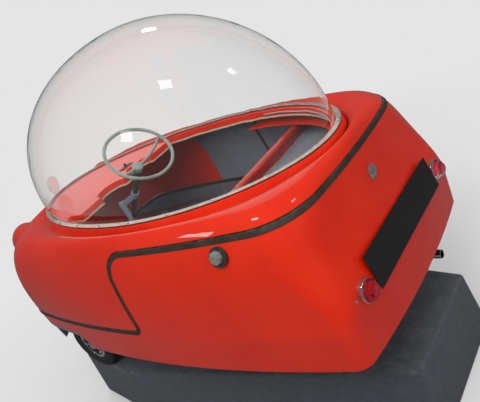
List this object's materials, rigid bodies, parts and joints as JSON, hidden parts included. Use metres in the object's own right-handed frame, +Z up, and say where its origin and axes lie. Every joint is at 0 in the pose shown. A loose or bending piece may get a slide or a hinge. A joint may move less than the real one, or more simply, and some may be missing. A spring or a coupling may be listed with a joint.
{
  "type": "bubble car",
  "caption": "Small three-wheel bubble car: moulded tub with a front-hinged canopy under a clear bubble, bench seat and steering, standing on a low display plinth.",
  "frame": {"origin": "middle of the plinth underside, at the centre of the whole outline in plan", "axes": "+X to the car's left, +Y to its tail, +Z up; the nose points along -Y"},
  "size_m": [1.0784, 1.8478, 1.574],
  "materials": {
    "carpet": "matt carpet",
    "body_paint": "glossy orange-red moulding",
    "inner_paint": "carpeted, blue-grey",
    "piping": "satin",
    "black_rubber": "satin",
    "clear_plastic": "clear and glossy",
    "trim_plastic": "satin",
    "chrome": "polished",
    "lamp_glass": "ribbed",
    "black_plastic": "gloss",
    "grey_plastic": "satin",
    "seat_vinyl": "satin vinyl",
    "black_metal": "satin",
    "grey_metal": "satin",
    "tyre": "matt",
    "engine_alloy": "cast",
    "plate_black": "gloss",
    "red_lens": "clear red"
  },
  "bodies": {
    "car": {"plinth": "carpet", "tub": "body_paint", "seam_seal": "black_rubber", "tub_hinge": "chrome", "floor_pan": "inner_paint", "seat_bulkhead": "body_paint", "parcel_shelf": "body_paint", "seat_box": "body_paint", "seat_cushion": "seat_vinyl", "seat_back": "seat_vinyl", "front_axle": "black_metal", "rear_fork": "black_metal", "rear_damper": "black_metal", "engine_block": "engine_alloy", "exhaust_pipe": "chrome", "number_plate": "plate_black", "tail_lamp_rings": "chrome", "tail_lamp_lenses": "red_lens", "deck_boss": "chrome", "filler_base": "black_plastic", "filler_cap": "grey_plastic", "column_post": "grey_metal", "steering_box": "inner_paint", "pedals": "black_metal"},
    "canopy": {"canopy_frame": "body_paint", "shelf_piping": "piping", "bubble": "clear_plastic", "rim_strip": "trim_plastic", "headlamp_rings": "chrome", "headlamp_glasses": "lamp_glass", "shelf_switch": "black_plastic", "canopy_hinge": "chrome"},
    "steering": {"steering_wheel": "grey_plastic", "steering_column": "black_metal"},
    "left_knuckle": {"knuckle_left": "black_metal"},
    "right_knuckle": {"knuckle_right": "black_metal"},
    "left_wheel": {"front_left_tyre": "tyre", "front_left_wheel": "chrome"},
    "right_wheel": {"front_right_tyre": "tyre", "front_right_wheel": "chrome"},
    "back_wheel": {"rear_tyre": "tyre", "rear_wheel": "chrome"}
  },
  "joints": [
    {"name": "canopy_tilt", "type": "hinge", "parent": "car", "child": "canopy", "pos_m": [0, -0.9145, 0.629], "axis": [1, 0, 0], "range_deg": [0, 72]},
    {"name": "steering_turn", "type": "hinge", "parent": "car", "child": "steering", "pos_m": [0, -0.112, 1.092], "axis": [0, 0.7071, 0.7071], "range_deg": [-60, 60]},
    {"name": "left_steer", "type": "hinge", "parent": "car", "child": "left_knuckle", "pos_m": [0.35, -0.606, 0.3823], "axis": [0, 0, 1], "range_deg": [-25, 25]},
    {"name": "right_steer", "type": "hinge", "parent": "car", "child": "right_knuckle", "pos_m": [-0.35, -0.606, 0.3823], "axis": [0, 0, 1], "range_deg": [-25, 25]},
    {"name": "left_spin", "type": "hinge", "parent": "left_knuckle", "child": "left_wheel", "pos_m": [0.42, -0.606, 0.3823], "axis": [1, 0, 0], "continuous": true},
    {"name": "right_spin", "type": "hinge", "parent": "right_knuckle", "child": "right_wheel", "pos_m": [-0.42, -0.606, 0.3823], "axis": [1, 0, 0], "continuous": true},
    {"name": "back_spin", "type": "hinge", "parent": "car", "child": "back_wheel", "pos_m": [0, 0.664, 0.3823], "axis": [1, 0, 0], "continuous": true}
  ],
  "couplings": [
    {"joint": "left_steer", "follows": "steering_turn", "ratio": 0.4},
    {"joint": "right_steer", "follows": "steering_turn", "ratio": 0.4}
  ]
}
